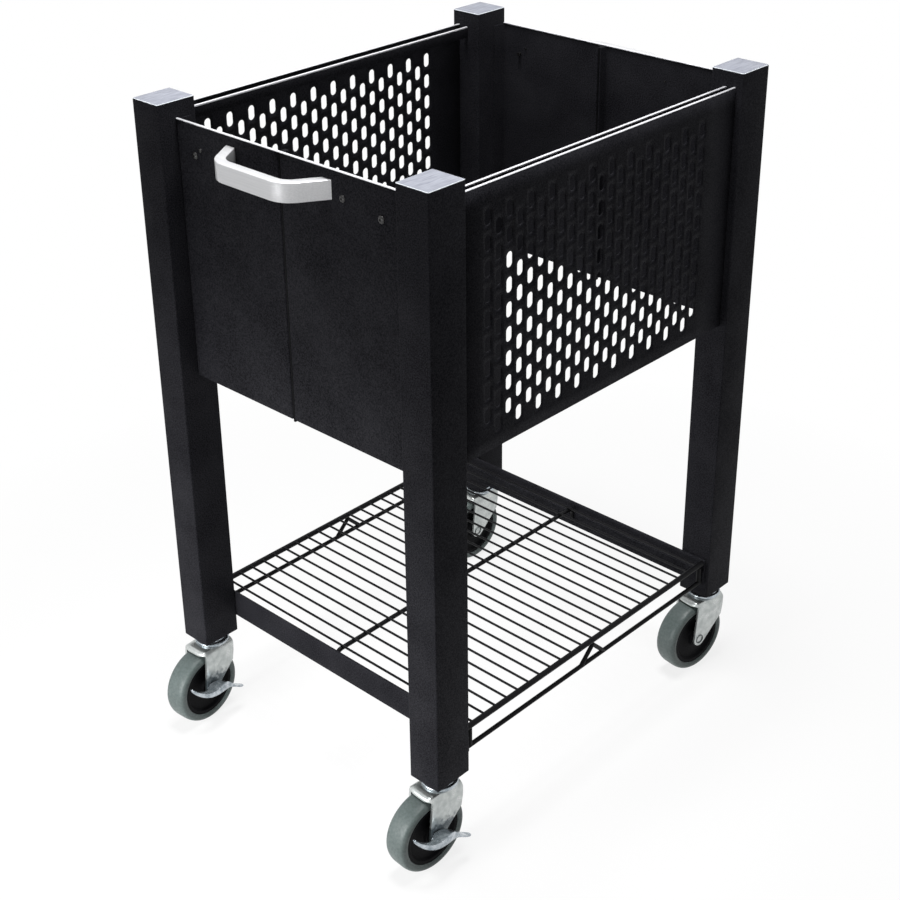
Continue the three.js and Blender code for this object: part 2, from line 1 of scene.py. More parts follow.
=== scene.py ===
# %% [markdown]
# # A rolling file cart
# Four tube posts on swivel casters carry an open bin for hanging folders and a low wire shelf.
# The solid parts come in as a fixed frame that gives every place and every joint. This lesson
# dresses that frame: each piece is made again with its bends, rounded edges and real finish,
# and it rides on the same moving body as the solid that it stands for.

# %% Load the fixed frame
import json
import math
import bmesh
import bpy
from mathutils import Matrix, Vector


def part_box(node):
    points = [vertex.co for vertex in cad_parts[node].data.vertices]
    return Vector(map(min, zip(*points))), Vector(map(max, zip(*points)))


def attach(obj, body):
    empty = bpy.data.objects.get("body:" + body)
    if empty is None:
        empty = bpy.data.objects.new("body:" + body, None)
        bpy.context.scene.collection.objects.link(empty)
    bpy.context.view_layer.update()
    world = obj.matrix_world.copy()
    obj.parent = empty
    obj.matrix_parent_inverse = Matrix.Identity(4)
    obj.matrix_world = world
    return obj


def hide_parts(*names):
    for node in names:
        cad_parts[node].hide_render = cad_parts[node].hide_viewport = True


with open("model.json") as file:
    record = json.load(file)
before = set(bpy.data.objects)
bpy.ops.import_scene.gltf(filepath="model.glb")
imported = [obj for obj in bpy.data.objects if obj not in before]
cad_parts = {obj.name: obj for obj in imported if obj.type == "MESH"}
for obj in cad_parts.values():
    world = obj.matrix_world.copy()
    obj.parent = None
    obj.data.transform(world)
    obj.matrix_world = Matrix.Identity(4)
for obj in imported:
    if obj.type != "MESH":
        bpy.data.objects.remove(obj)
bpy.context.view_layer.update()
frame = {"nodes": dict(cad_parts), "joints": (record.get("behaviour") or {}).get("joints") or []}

# %% [markdown]
# ## Working in millimetres
# A workshop drawing of a cart is in millimetres, and a mesh operator works best on numbers near
# one. So every cell works in millimetres, and a piece is shrunk to metres once, when it is
# finished. The places are read from the frame, so nothing is fitted by eye.

# %% Read places in millimetres
def span(node):
    low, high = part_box(node)
    return low * 1000, high * 1000


low, high = span("post_front_left")[0], span("post_back_right")[1]
MIDDLE = Vector(((low.x + high.x) / 2, (low.y + high.y) / 2, 0))
joints = {joint["name"]: joint for joint in frame["joints"]}
PLACES = ("front_left", "front_right", "back_left", "back_right")
print("middle of the posts:", [round(v, 2) for v in MIDDLE])

# %% [markdown]
# ## The camera
# The cart was seen from its front right corner and from well above the top of the posts. The
# camera's place, tilt and lens bring the corners of the four posts near to where they are in the
# picture, with the lens shifted down only a little.

# %% Set the camera
az, el, roll = math.radians(43.413), math.radians(26.476), math.radians(-0.619)
right = Vector((math.cos(az), math.sin(az), 0))
back = Vector((math.sin(az) * math.cos(el), -math.cos(az) * math.cos(el), math.sin(el)))
up = back.cross(right)
lens_x = right * math.cos(roll) + up * math.sin(roll)
lens_y = up * math.cos(roll) - right * math.sin(roll)
camera = bpy.data.objects.new("camera", bpy.data.cameras.new("camera"))
bpy.context.scene.collection.objects.link(camera)
stand = Matrix((lens_x, lens_y, back)).transposed().to_4x4()
FROM_MIDDLE = Vector((0.947, -1.0146, 1.0531))
stand.translation = MIDDLE * 0.001 + FROM_MIDDLE
camera.matrix_world = stand
camera.data.sensor_width = 36
camera.data.lens = 65.45
camera.data.shift_x, camera.data.shift_y = -0.0011, -0.09
camera.data.clip_start, camera.data.clip_end = 0.05, 50
bpy.context.scene.camera = camera
bpy.context.scene.view_settings.view_transform = "Standard"
print("camera at", [round(v, 3) for v in stand.translation])

# %% [markdown]
# ## Floor and light
# The cart stands on a plain white floor in a white room. A lamp straight above is the main light,
# as in a shop's studio, and a weaker one lights the lower front. The floor shows nearly white to
# the camera, and wholly white farther off, but keeps a part of the cart's shadow.

# %% Light the room
def link(tree, output, *inputs):
    for one in inputs:
        tree.links.new(output, one)


def lamp(name, place, target, size, power, spread):
    light = bpy.data.lights.new(name, "AREA")
    light.shape = "DISK"
    light.size = size
    light.energy = power
    light.spread = math.radians(spread)
    one = bpy.data.objects.new(name, light)
    bpy.context.scene.collection.objects.link(one)
    one.location = place
    aim = Vector(target) - Vector(place)
    one.rotation_euler = aim.to_track_quat("-Z", "Y").to_euler()


def camera_or_glossy(tree):
    ways = tree.nodes.new("ShaderNodeLightPath")
    seen = tree.nodes.new("ShaderNodeMath")
    seen.operation = "MAXIMUM"
    link(tree, ways.outputs["Is Camera Ray"], seen.inputs[0])
    link(tree, ways.outputs["Is Glossy Ray"], seen.inputs[1])
    return seen.outputs[0]


lamp("lamp_above", place=(0.0, -0.1, 2.4), target=(0, -0.1, 0.3), size=0.8, power=9, spread=70)
lamp("lamp_front", place=(-0.1, -1.0, 0.26), target=(0, -0.2, -0.05), size=0.5, power=2.6,
     spread=90)
room = bpy.data.worlds.new("white_room")
room.use_nodes = True
bpy.context.scene.world = room
tree = room.node_tree
ROOM_LIGHT, ROOM_SEEN = 0.06, 1.0
strength = tree.nodes.new("ShaderNodeMapRange")
strength.inputs["To Min"].default_value = ROOM_LIGHT
strength.inputs["To Max"].default_value = ROOM_SEEN
link(tree, camera_or_glossy(tree), strength.inputs["Value"])
sky = tree.nodes["Background"]
sky.inputs["Color"].default_value = (1, 1, 1, 1)
link(tree, strength.outputs["Result"], sky.inputs["Strength"])

# %% Lay the floor
FLOOR_HALF = 6
SHADED_WITHIN, WHITE_BEYOND = 0.2, 0.75
LEAST_GLOW, FULL_GLOW = 0.82, 1.0


def floor_finish():
    finish = bpy.data.materials.new("pale_floor")
    finish.use_nodes = True
    tree = finish.node_tree
    body = tree.nodes["Principled BSDF"]
    body.inputs["Base Color"].default_value = (0.93, 0.93, 0.93, 1)
    body.inputs["Roughness"].default_value = 0.9
    body.inputs["Specular IOR Level"].default_value = 0.1
    glow = tree.nodes.new("ShaderNodeEmission")
    glow.inputs["Strength"].default_value = 1.0
    away = tree.nodes.new("ShaderNodeVectorMath")
    away.operation = "LENGTH"
    link(tree, tree.nodes.new("ShaderNodeTexCoord").outputs["Object"], away.inputs[0])
    fade = tree.nodes.new("ShaderNodeMapRange")
    fade.inputs["From Min"].default_value = SHADED_WITHIN
    fade.inputs["From Max"].default_value = WHITE_BEYOND
    fade.inputs["To Min"].default_value = LEAST_GLOW
    fade.inputs["To Max"].default_value = FULL_GLOW
    link(tree, away.outputs["Value"], fade.inputs["Value"])
    share = tree.nodes.new("ShaderNodeMath")
    share.operation = "MULTIPLY"
    link(tree, camera_or_glossy(tree), share.inputs[0])
    link(tree, fade.outputs["Result"], share.inputs[1])
    mix = tree.nodes.new("ShaderNodeMixShader")
    link(tree, share.outputs[0], mix.inputs[0])
    link(tree, body.outputs[0], mix.inputs[1])
    link(tree, glow.outputs[0], mix.inputs[2])
    link(tree, mix.outputs[0], tree.nodes["Material Output"].inputs["Surface"])
    return finish


bm = bmesh.new()
bmesh.ops.create_grid(bm, x_segments=1, y_segments=1, size=FLOOR_HALF)
ground = bpy.data.meshes.new("floor")
bm.to_mesh(ground)
bm.free()
ground.materials.append(floor_finish())
floor = bpy.data.objects.new("floor", ground)
bpy.context.scene.collection.objects.link(floor)
print("floor:", 2 * FLOOR_HALF, "m wide")

# %% [markdown]
# ## Finishes: grain and drawn lines
# Two effects come back on many pieces. A powder coat, a moulded plastic and a tyre all have a fine
# grain that breaks up their colour and gloss. Drawn or rolled metal has long faint lines in one
# direction. Each is a node group with its own sizes and colours, so a finish is one short cell.

# %% Group for a fine grain
def group(name, inputs, outputs):
    tree = bpy.data.node_groups.new(name, "ShaderNodeTree")
    for label, kind, value in inputs:
        socket = tree.interface.new_socket(name=label, in_out="INPUT", socket_type=kind)
        socket.default_value = value
    for label, kind in outputs:
        tree.interface.new_socket(name=label, in_out="OUTPUT", socket_type=kind)
    return tree, tree.nodes.new("NodeGroupInput"), tree.nodes.new("NodeGroupOutput")


def noise(tree, vector, scale, detail):
    one = tree.nodes.new("ShaderNodeTexNoise")
    link(tree, vector, one.inputs["Vector"])
    if isinstance(scale, bpy.types.NodeSocket):
        link(tree, scale, one.inputs["Scale"])
    else:
        one.inputs["Scale"].default_value = scale
    one.inputs["Detail"].default_value = detail
    return one


def spread(tree, value, low, high):
    one = tree.nodes.new("ShaderNodeMapRange")
    one.inputs["From Min"].default_value = low
    one.inputs["From Max"].default_value = high
    link(tree, value, one.inputs["Value"])
    return one.outputs["Result"]


def blend_colour(tree, share, first, second):
    one = tree.nodes.new("ShaderNodeMix")
    one.data_type = "RGBA"
    link(tree, share, one.inputs[0])
    link(tree, first, one.inputs[6])
    link(tree, second, one.inputs[7])
    return one.outputs[2]


def blend_value(tree, share, first, second):
    one = tree.nodes.new("ShaderNodeMix")
    link(tree, share, one.inputs[0])
    link(tree, first, one.inputs[2])
    link(tree, second, one.inputs[3])
    return one.outputs[0]


COLOUR, NUMBER, VECTOR = "NodeSocketColor", "NodeSocketFloat", "NodeSocketVector"
BLACK, WHITE = (0, 0, 0, 1), (1, 1, 1, 1)
CLOUD_SCALE, SPECK_SHARE, CLOUD_SHARE = 22, 0.72, 0.28
grain, given, put = group(
    "fine_grain",
    [("Scale", NUMBER, 1000), ("Dark", COLOUR, BLACK), ("Light", COLOUR, WHITE),
     ("Smooth", NUMBER, 0.4), ("Rough", NUMBER, 0.6)],
    [("Colour", COLOUR), ("Roughness", NUMBER), ("Height", NUMBER)],
)
where = grain.nodes.new("ShaderNodeTexCoord").outputs["Object"]
speck = noise(grain, where, given.outputs["Scale"], 3)
cloud = noise(grain, where, CLOUD_SCALE, 5)
both = grain.nodes.new("ShaderNodeMath")
both.operation = "MULTIPLY_ADD"
both.inputs[1].default_value = SPECK_SHARE
link(grain, spread(grain, speck.outputs["Fac"], 0.3, 0.7), both.inputs[0])
half = grain.nodes.new("ShaderNodeMath")
half.operation = "MULTIPLY"
half.inputs[1].default_value = CLOUD_SHARE
link(grain, spread(grain, cloud.outputs["Fac"], 0.3, 0.7), half.inputs[0])
link(grain, half.outputs[0], both.inputs[2])
share = both.outputs[0]
colour = blend_colour(grain, share, given.outputs["Dark"], given.outputs["Light"])
gloss = blend_value(grain, share, given.outputs["Rough"], given.outputs["Smooth"])
link(grain, colour, put.inputs["Colour"])
link(grain, gloss, put.inputs["Roughness"])
link(grain, speck.outputs["Fac"], put.inputs["Height"])
print("group:", grain.name)

# %% Group for drawn lines
PATCH_SCALE = 45
lines, given, put = group(
    "drawn_lines",
    [("Fine", VECTOR, (1, 1, 1)), ("Dark", COLOUR, BLACK), ("Light", COLOUR, WHITE),
     ("Smooth", NUMBER, 0.25), ("Rough", NUMBER, 0.4)],
    [("Colour", COLOUR), ("Roughness", NUMBER), ("Height", NUMBER)],
)
where = lines.nodes.new("ShaderNodeTexCoord").outputs["Object"]
stretch = lines.nodes.new("ShaderNodeMapping")
link(lines, where, stretch.inputs["Vector"])
link(lines, given.outputs["Fine"], stretch.inputs["Scale"])
streak = noise(lines, stretch.outputs["Vector"], 1.0, 4)
patch = noise(lines, where, PATCH_SCALE, 4)
share = spread(lines, streak.outputs["Fac"], 0.3, 0.7)
dull = spread(lines, patch.outputs["Fac"], 0.35, 0.7)
colour = blend_colour(lines, share, given.outputs["Dark"], given.outputs["Light"])
gloss = blend_value(lines, dull, given.outputs["Smooth"], given.outputs["Rough"])
link(lines, colour, put.inputs["Colour"])
link(lines, gloss, put.inputs["Roughness"])
link(lines, streak.outputs["Fac"], put.inputs["Height"])
print("group:", lines.name)

# %% Make a finish from a group
def finish_from(name, effect, values, metal=0.0, shine=0.5, bump=0.1, depth=0.0001):
    finish = bpy.data.materials.new(name)
    finish.use_nodes = True
    tree = finish.node_tree
    body = tree.nodes["Principled BSDF"]
    body.inputs["Metallic"].default_value = metal
    body.inputs["Specular IOR Level"].default_value = shine
    part = tree.nodes.new("ShaderNodeGroup")
    part.node_tree = effect
    for label, value in values.items():
        part.inputs[label].default_value = value
    link(tree, part.outputs["Colour"], body.inputs["Base Color"])
    link(tree, part.outputs["Roughness"], body.inputs["Roughness"])
    relief = tree.nodes.new("ShaderNodeBump")
    relief.inputs["Strength"].default_value = bump
    relief.inputs["Distance"].default_value = depth
    link(tree, part.outputs["Height"], relief.inputs["Height"])
    link(tree, relief.outputs["Normal"], body.inputs["Normal"])
    return finish


def grey(value, blue=0.0):
    return (value, value, value + blue, 1)


print("groups:", len(bpy.data.node_groups))

# %% Coats, plastics and rubber
BLACK_COAT = finish_from("black_powder_coat", grain, {
    "Scale": 850, "Dark": grey(0.001, 0.0012), "Light": grey(0.03, 0.005),
    "Smooth": 0.52, "Rough": 0.7,
}, shine=0.03, bump=0.4, depth=0.0003)
BLACK_WIRE = finish_from("black_wire_coat", grain, {
    "Scale": 500, "Dark": grey(0.002, 0.0006), "Light": grey(0.009, 0.001),
    "Smooth": 0.3, "Rough": 0.45,
}, shine=0.08, bump=0.12, depth=0.0002)
CAP_GREY = finish_from("grey_cap_plastic", lines, {
    "Fine": (520, 70, 300), "Dark": (0.225, 0.235, 0.28, 1), "Light": (0.36, 0.375, 0.43, 1),
    "Smooth": 0.5, "Rough": 0.66,
}, shine=0.3, bump=0.2, depth=0.0002)
# Near-white finish for the sloped rim faces of a lid: a painted highlight along the cap's rim.
CAP_RIM_HIGHLIGHT = finish_from("cap_rim_painted_highlight", lines, {
    "Fine": (200, 200, 200), "Dark": (0.8, 0.85, 0.9, 1), "Light": (0.92, 0.96, 1.0, 1),
    "Smooth": 0.3, "Rough": 0.45,
}, shine=0.5, bump=0.02, depth=0.0001)
TYRE_GREY = finish_from("grey_tyre_rubber", grain, {
    "Scale": 420, "Dark": (0.062, 0.082, 0.079, 1), "Light": (0.108, 0.134, 0.13, 1),
    "Smooth": 0.38, "Rough": 0.54,
}, shine=0.4, bump=0.15, depth=0.0002)
BLACK_PLASTIC = finish_from("black_moulded_plastic", grain, {
    "Scale": 600, "Dark": grey(0.0008, 0.0006), "Light": grey(0.006, 0.001),
    "Smooth": 0.42, "Rough": 0.6,
}, shine=0.05, bump=0.15, depth=0.0002)
BLACK_SCREW = finish_from("blackened_screw", grain, {
    "Scale": 900, "Dark": grey(0.004), "Light": grey(0.012),
    "Smooth": 0.2, "Rough": 0.34,
}, shine=0.5, bump=0.1, depth=0.0001)
print("finishes:", len(bpy.data.materials))

# %% Metals
ZINC = finish_from("zinc_plate", grain, {
    "Scale": 150, "Dark": (0.36, 0.39, 0.385, 1), "Light": (0.62, 0.645, 0.635, 1),
    "Smooth": 0.24, "Rough": 0.4,
}, metal=0.8, bump=0.08, depth=0.0002)
BRIGHT_ZINC = finish_from("polished_zinc", grain, {
    "Scale": 230, "Dark": (0.2, 0.24, 0.27, 1), "Light": (0.62, 0.66, 0.7, 1),
    "Smooth": 0.14, "Rough": 0.3,
}, metal=0.85, bump=0.05, depth=0.0002)
AXLE_STEEL = finish_from("dull_axle_steel", grain, {
    "Scale": 300, "Dark": (0.03, 0.036, 0.036, 1), "Light": (0.16, 0.175, 0.175, 1),
    "Smooth": 0.3, "Rough": 0.5,
}, metal=0.85, bump=0.1, depth=0.0002)
RAIL_STEEL = finish_from("bright_rail_steel", lines, {
    "Fine": (600, 6, 600), "Dark": (0.8, 0.8, 0.84, 1), "Light": (0.93, 0.93, 0.97, 1),
    "Smooth": 0.28, "Rough": 0.38,
}, metal=0.35, bump=0.0, depth=0.0001)
EDGE_STEEL = finish_from("bright_edge_steel", lines, {
    "Fine": (6, 600, 600), "Dark": (0.8, 0.8, 0.84, 1), "Light": (0.93, 0.93, 0.97, 1),
    "Smooth": 0.28, "Rough": 0.38,
}, metal=0.35, bump=0.0, depth=0.0001)
PULL_METAL = finish_from("satin_pull_aluminium", lines, {
    "Fine": (10, 900, 900), "Dark": (0.66, 0.665, 0.68, 1), "Light": (0.75, 0.755, 0.77, 1),
    "Smooth": 0.34, "Rough": 0.46,
}, metal=0.5, shine=0.5, bump=0.04, depth=0.0001)
print("finishes:", len(bpy.data.materials))

# %% Painted shade of the brake pedal, low on the front forks
RAGGED_BY, RAGGED_SCALE = 0.024, 190


# Darkens the base colour below a ragged height: painted shade and reflection of the brake pedal on
# the lower fork.
def with_painted_low_shade(finish, name, shade_ends_at, full_shade_below, shade_colour):
    made = finish.copy()
    made.name = name
    tree = made.node_tree
    where = tree.nodes.new("ShaderNodeTexCoord").outputs["Object"]
    height = tree.nodes.new("ShaderNodeSeparateXYZ")
    link(tree, where, height.inputs[0])
    ragged = tree.nodes.new("ShaderNodeMath")
    ragged.operation = "MULTIPLY_ADD"
    ragged.inputs[1].default_value = RAGGED_BY
    link(tree, noise(tree, where, RAGGED_SCALE, 3).outputs["Fac"], ragged.inputs[0])
    link(tree, height.outputs["Z"], ragged.inputs[2])
    colour = tree.nodes.new("ShaderNodeMix")
    colour.data_type = "RGBA"
    colour.inputs[7].default_value = shade_colour
    link(tree, spread(tree, ragged.outputs[0], shade_ends_at, full_shade_below), colour.inputs[0])
    body = tree.nodes["Principled BSDF"]
    link(tree, body.inputs["Base Color"].links[0].from_socket, colour.inputs[6])
    link(tree, colour.outputs[2], body.inputs["Base Color"])
    return made


ZINC_WITH_PEDAL_SHADE = with_painted_low_shade(ZINC, "zinc_plate_painted_pedal_shade", shade_ends_at=0.067, full_shade_below=0.06,
                       shade_colour=(0.1, 0.12, 0.13, 1))
print("finish:", ZINC_WITH_PEDAL_SHADE.name)

# %% [markdown]
# ## Helpers for shaping and finishing a piece
# A pressed or welded cart needs few kinds of start: a box for bars and strips, a turned profile
# for round parts, and a bent sheet. The finished mesh gets smooth shading with sharp creases, its
# finish, the body that it rides on, and the solid that it stands for.

# %% Finish a piece
def piece(bm, name, body, finish, slot, *nodes, crease=35):
    bmesh.ops.transform(bm, matrix=Matrix.Scale(0.001, 4), verts=bm.verts)
    mesh = bpy.data.meshes.new(name)
    bm.to_mesh(mesh)
    bm.free()
    mesh.shade_smooth()
    mesh.set_sharp_from_angle(angle=math.radians(crease))
    mesh.materials.append(finish)
    one = bpy.data.objects.new(name, mesh)
    bpy.context.scene.collection.objects.link(one)
    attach(one, body)
    if nodes:
        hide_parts(*nodes)
    print(f"{name}: {len(mesh.polygons)} faces")
    return one


def verts_of(geom):
    return [part for part in geom if isinstance(part, bmesh.types.BMVert)]


def edges_of(geom):
    return [part for part in geom if isinstance(part, bmesh.types.BMEdge)]


# %% Shape boxes and bent sheets
def bevelled(bm, edges, size, steps=3):
    bmesh.ops.bevel(bm, geom=edges, offset=size, offset_type="OFFSET", affect="EDGES",
                    segments=steps, profile=0.5, material=-1, clamp_overlap=True)
    return bm


def block(low, high, rounding=0.0, steps=3):
    bm = bmesh.new()
    bmesh.ops.create_cube(bm, size=1)
    bmesh.ops.scale(bm, vec=high - low, verts=bm.verts)
    bmesh.ops.translate(bm, vec=(low + high) / 2, verts=bm.verts)
    return bevelled(bm, bm.edges[:], rounding, steps) if rounding else bm


def gather(*shapes):
    whole = bmesh.new()
    for shape in shapes:
        part = bpy.data.meshes.new("part")
        shape.to_mesh(part)
        shape.free()
        whole.from_mesh(part)
        bpy.data.meshes.remove(part)
    return whole


def thicken(one, sheet, edge=0.3):
    wall = one.modifiers.new("sheet", "SOLIDIFY")
    wall.thickness = sheet * 0.001
    wall.offset = -1
    wall.use_even_offset = True
    if edge:
        soft = one.modifiers.new("cut_edges", "BEVEL")
        soft.width = edge * 0.001
        soft.segments = 2
        soft.limit_method = "ANGLE"
        soft.angle_limit = math.radians(50)


def polyline(points, rounding=(), steps=4):
    bm = bmesh.new()
    verts = [bm.verts.new(point) for point in points]
    for pair in zip(verts, verts[1:]):
        bm.edges.new(pair)
    for index, size in rounding:
        bmesh.ops.bevel(bm, geom=[verts[index]], offset=size, affect="VERTICES",
                        segments=steps, profile=0.5, material=-1)
    return bm


def cut_off(bm, point, outward):
    bmesh.ops.bisect_plane(bm, geom=bm.verts[:] + bm.edges[:] + bm.faces[:],
                           plane_co=point, plane_no=outward, clear_outer=True)


def turned(points, rounding=(), steps=40):
    bm = polyline([(r, 0, z) for r, z in points], rounding)
    bmesh.ops.spin(bm, geom=bm.verts[:] + bm.edges[:], cent=(0, 0, 0), axis=(0, 0, 1),
                   dvec=(0, 0, 0), angle=math.tau, steps=steps, use_merge=True)
    bmesh.ops.remove_doubles(bm, verts=bm.verts, dist=0.0005)
    bmesh.ops.recalc_face_normals(bm, faces=bm.faces)
    return bm


def moved(bm, matrix):
    bmesh.ops.transform(bm, matrix=matrix, verts=bm.verts)
    return bm


def swept(bm, direction):
    made = bmesh.ops.extrude_edge_only(bm, edges=bm.edges[:])["geom"]
    bmesh.ops.translate(bm, vec=direction, verts=verts_of(made))
    return bm


def facing(bm, outward):
    bmesh.ops.recalc_face_normals(bm, faces=bm.faces)
    widest = max(bm.faces, key=lambda f: f.calc_area())
    if widest.normal.dot(Vector(outward)) < 0:
        bmesh.ops.reverse_faces(bm, faces=bm.faces)
    return bm


print("helpers for shaping ready, in millimetres")

# %% [markdown]
# ## Posts, caps and stem sockets
# Each post is a rectangular steel tube with small rolled corners, coated black. A box without its
# two end faces, with bevelled upright edges and a wall thickness, is exactly that. The cap is a
# moulded lid: a flat plate with a softened rim and a plug that goes into the tube.

# %% Make the posts
CORNER, LID, TUBE_WALL = 1.3, 0.7, 1.6
for place in PLACES:
    low, high = span(f"post_{place}")
    high.z = span(f"post_cap_{place}")[1].z - LID
    bm = block(low, high)
    bmesh.ops.delete(bm, geom=[f for f in bm.faces if abs(f.normal.z) > 0.9], context="FACES_ONLY")
    bevelled(bm, [e for e in bm.edges if abs(e.verts[0].co.z - e.verts[1].co.z) > 1], CORNER, 4)
    tube = piece(bm, f"tube_{place}", "frame", BLACK_COAT, "black_coat", f"post_{place}")
    thicken(tube, TUBE_WALL)

# %% Make the caps
PLUG_INSET, RIM_ROUNDING, LID_GAP = 2.0, 0.5, 0.05
for place in PLACES:
    low, high = span(f"post_cap_{place}")
    bm = block(Vector((low.x, low.y, high.z - LID + LID_GAP)), high)
    bevelled(bm, [e for e in bm.edges if abs(e.verts[0].co.z - e.verts[1].co.z) > 0.4], CORNER, 4)
    under = min(bm.faces, key=lambda f: f.calc_center_median().z)
    bmesh.ops.inset_region(bm, faces=[under], thickness=PLUG_INSET, use_even_offset=True)
    plug = bmesh.ops.extrude_face_region(bm, geom=[under])["geom"]
    bmesh.ops.translate(bm, vec=(0, 0, low.z - high.z), verts=verts_of(plug))
    bmesh.ops.delete(bm, geom=[under], context="FACES_ONLY")
    rim = [e for e in bm.edges if min(v.co.z for v in e.verts) > high.z - 0.01]
    bevelled(bm, rim, RIM_ROUNDING, 2)
    bmesh.ops.recalc_face_normals(bm, faces=bm.faces)
    lid = piece(bm, f"lid_{place}", "frame", CAP_GREY, "cap_grey", f"post_cap_{place}")
    # The sloped rim faces take the near-white painted highlight; the flat top and the upright sides
    # keep the grey plastic.
    lid.data.materials.append(CAP_RIM_HIGHLIGHT)
    for face in lid.data.polygons:
        face.material_index = int(0.1 < face.normal.z < 0.95)

# %% Finish the stem sockets
for place in PLACES:
    node = frame["nodes"][f"caster_socket_{place}"]
    node.data.materials.clear()
    node.data.materials.append(BLACK_PLASTIC)
print("sockets finished:", len(PLACES))

# %% [markdown]
# ## Front and back panels
# Each end of the bin is two folded sheets that meet at an upright seam. A sheet turns in along the
# post and along the seam. The fold line in plan is drawn as a few points with rounded corners,
# pulled up to the panel's height and given the sheet's thickness on the inside.

# %% Fold the panel halves
SHEET, END_FLANGE, SEAM_FLANGE, END_BEND, SEAM_BEND = 1.2, 16, 10, 1.6, 1.4
for end, sides in (("front", ("left", "right")), ("back", ("right", "left"))):
    for side in sides:
        node = f"{end}_panel_{side}"
        low, high = span(node)
        outer, way = (low.y, 1) if end == "front" else (high.y, -1)
        seam, post = (high.x, low.x) if side == "left" else (low.x, high.x)
        fold = [(post, outer + way * END_FLANGE, low.z), (post, outer, low.z),
                (seam, outer, low.z), (seam, outer + way * SEAM_FLANGE, low.z)]
        bm = swept(polyline(fold, ((1, END_BEND), (2, SEAM_BEND))), (0, 0, high.z - low.z))
        facing(bm, (0, -way, 0))
        sheet = piece(bm, f"{end}_sheet_{side}", "frame", BLACK_COAT, "black_coat", node, crease=60)
        thicken(sheet, SHEET, edge=0.2)

# %% Fit the seam strips and the bright top strips
for end in ("front", "back"):
    strip = block(*span(f"{end}_seam_strip"), rounding=0.5, steps=2)
    piece(strip, f"{end}_seam_filler", "frame", BLACK_PLASTIC, "black_plastic", f"{end}_seam_strip")
    strip = block(*span(f"{end}_panel_trim"), rounding=0.45)
    piece(strip, f"{end}_top_strip", "frame", EDGE_STEEL, "bright_steel", f"{end}_panel_trim")

# %% [markdown]
# ## Bow pulls
# A pull is one flat bar bent twice: a slanting leg, a bend, the grip, a bend and the second leg.
# The bar's four-sided outline is swept along that way, so the bends keep the bar's thickness.
# Its long edges are rounded, and both feet are cut off flush with the panel.

# %% Draw the bar's outline
PULL_BAR, PULL_GRIP, PULL_BEND, PULL_ROUNDING, OVERRUN = 9.5, 84, 20, 0.6, 8
SHARP = 1.2


def bar_outline(height, slope, start):
    bm = bmesh.new()
    bmesh.ops.create_circle(bm, cap_ends=False, radius=1, segments=4)
    moved(bm, Matrix.Rotation(math.pi / 4, 4, "Z"))
    bmesh.ops.scale(bm, vec=(PULL_BAR / math.sqrt(2), height / math.sqrt(2), 1), verts=bm.verts)
    moved(bm, Matrix.Rotation(math.pi / 2, 4, "X"))
    moved(bm, Matrix.Rotation(math.pi / 2 - slope, 4, "Z"))
    return moved(bm, Matrix.Translation(start))


print("bar of a pull:", PULL_BAR, "mm thick")

# %% Bend a pull
def bow_pull(node, facing_front):
    low, high = span(node)
    length, reach = high.x - low.x, high.y - low.y
    slope = math.atan2(reach, (length - PULL_GRIP) / 2)
    leg = Vector((math.cos(slope), -math.sin(slope), 0))
    across = Vector((math.sin(slope), math.cos(slope), 0))
    foot = Vector((-length / 2, 0, 0)) + across * PULL_BAR / 2
    corner = foot + leg * ((foot.y + reach - PULL_BAR / 2) / math.sin(slope))
    tangent = PULL_BEND * math.tan(slope / 2)
    leg_run = (corner - foot).length + OVERRUN - tangent
    bm = bar_outline(high.z - low.z, slope, foot - leg * OVERRUN)
    ring = bm.verts[:] + bm.edges[:]

    def run(distance, heading):
        made = bmesh.ops.extrude_edge_only(bm, edges=edges_of(ring))["geom"]
        bmesh.ops.translate(bm, vec=heading * distance, verts=verts_of(made))
        return verts_of(made) + edges_of(made)

    def turn(x):
        return bmesh.ops.spin(bm, geom=ring, cent=(x, corner.y + PULL_BEND, 0), axis=(0, 0, 1),
                              dvec=(0, 0, 0), angle=slope, steps=8)["geom_last"]

    ring = run(leg_run, leg)
    ring = turn(corner.x + tangent)
    ring = run(-2 * (corner.x + tangent), Vector((1, 0, 0)))
    ring = turn(-corner.x - tangent)
    ring = run(leg_run, Vector((leg.x, -leg.y, 0)))
    bmesh.ops.recalc_face_normals(bm, faces=bm.faces)
    long_edges = [e for e in bm.edges if len(e.link_faces) == 2 and e.calc_face_angle() > SHARP]
    bevelled(bm, long_edges, PULL_ROUNDING, 3)
    cut_off(bm, (0, 0, 0), (0, 1, 0))
    bmesh.ops.holes_fill(bm, edges=bm.edges, sides=0)
    bmesh.ops.recalc_face_normals(bm, faces=bm.faces)
    panel_y = high.y if facing_front else low.y
    place = Matrix.Translation(((low.x + high.x) / 2, panel_y, (low.z + high.z) / 2))
    return moved(bm, place if facing_front else place @ Matrix.Rotation(math.pi, 4, "Z"))


for end in ("front", "back"):
    bow = bow_pull(f"{end}_pull", end == "front")
    piece(bow, f"{end}_bow", "frame", PULL_METAL, "satin_aluminium", f"{end}_pull")

# %% Screws and rivets beside the pulls
def round_head(radius, height, shank, tail):
    outline = [(0, -tail), (shank, -tail), (shank, 0), (radius, 0), (radius, height * 0.35),
               (radius * 0.62, height), (radius * 0.3, height), (radius * 0.24, height * 0.55),
               (0, height * 0.5)]
    return turned(outline, ((4, 0.4), (5, 0.8)), steps=24)


